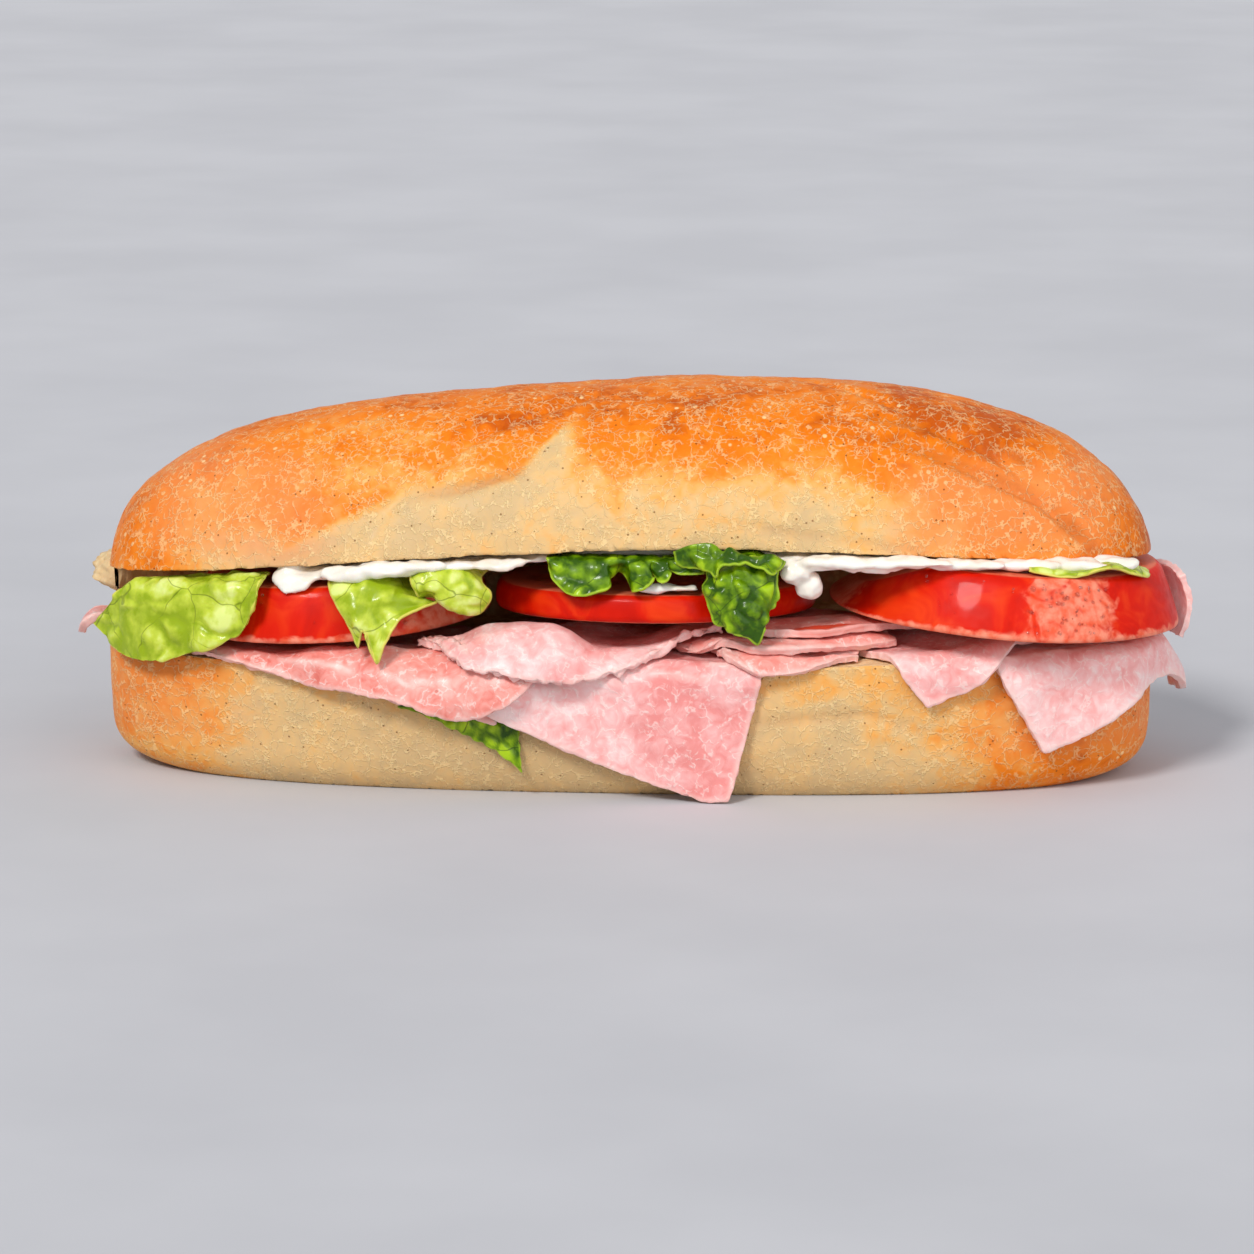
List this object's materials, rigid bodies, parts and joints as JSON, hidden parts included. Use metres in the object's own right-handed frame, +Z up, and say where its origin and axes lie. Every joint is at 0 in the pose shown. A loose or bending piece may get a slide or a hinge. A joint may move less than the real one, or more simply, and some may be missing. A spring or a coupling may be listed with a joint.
{
  "type": "turkey ham sandwich",
  "caption": "Crusty bread roll cut open along its front and filled with folded ham slices, thick tomato slices, lettuce leaves and mayonnaise; it rests flat with the filling facing forward",
  "frame": {"origin": "centre of the bounding box in X and Y, on the surface the sandwich rests on", "axes": "+X along the roll to its right end seen from the open front, -Y out of the open front, +Z up"},
  "size_m": [0.2424, 0.0878, 0.0842],
  "materials": {
    "crust": "satin",
    "ham": "satin",
    "tomato": "gloss",
    "lettuce": "satin",
    "mayonnaise": "gloss"
  },
  "bodies": {
    "root": {"roll": "crust", "ham_centre_flap": "ham", "ham_curl": "ham", "ham_left": "ham", "ham_left_end": "ham", "ham_left_under": "ham", "ham_middle": "ham", "ham_middle_low": "ham", "ham_middle_top": "ham", "ham_right_flap": "ham", "ham_right_fold": "ham", "ham_right_inner_flap": "ham", "lettuce_centre": "lettuce", "lettuce_fold": "lettuce", "lettuce_left": "lettuce", "lettuce_lobe": "lettuce", "lettuce_right": "lettuce", "lettuce_shred": "lettuce", "lettuce_tongue": "lettuce", "mayonnaise": "mayonnaise", "tomato_centre": "tomato", "tomato_left": "tomato", "tomato_right": "tomato"}
  },
  "joints": []
}
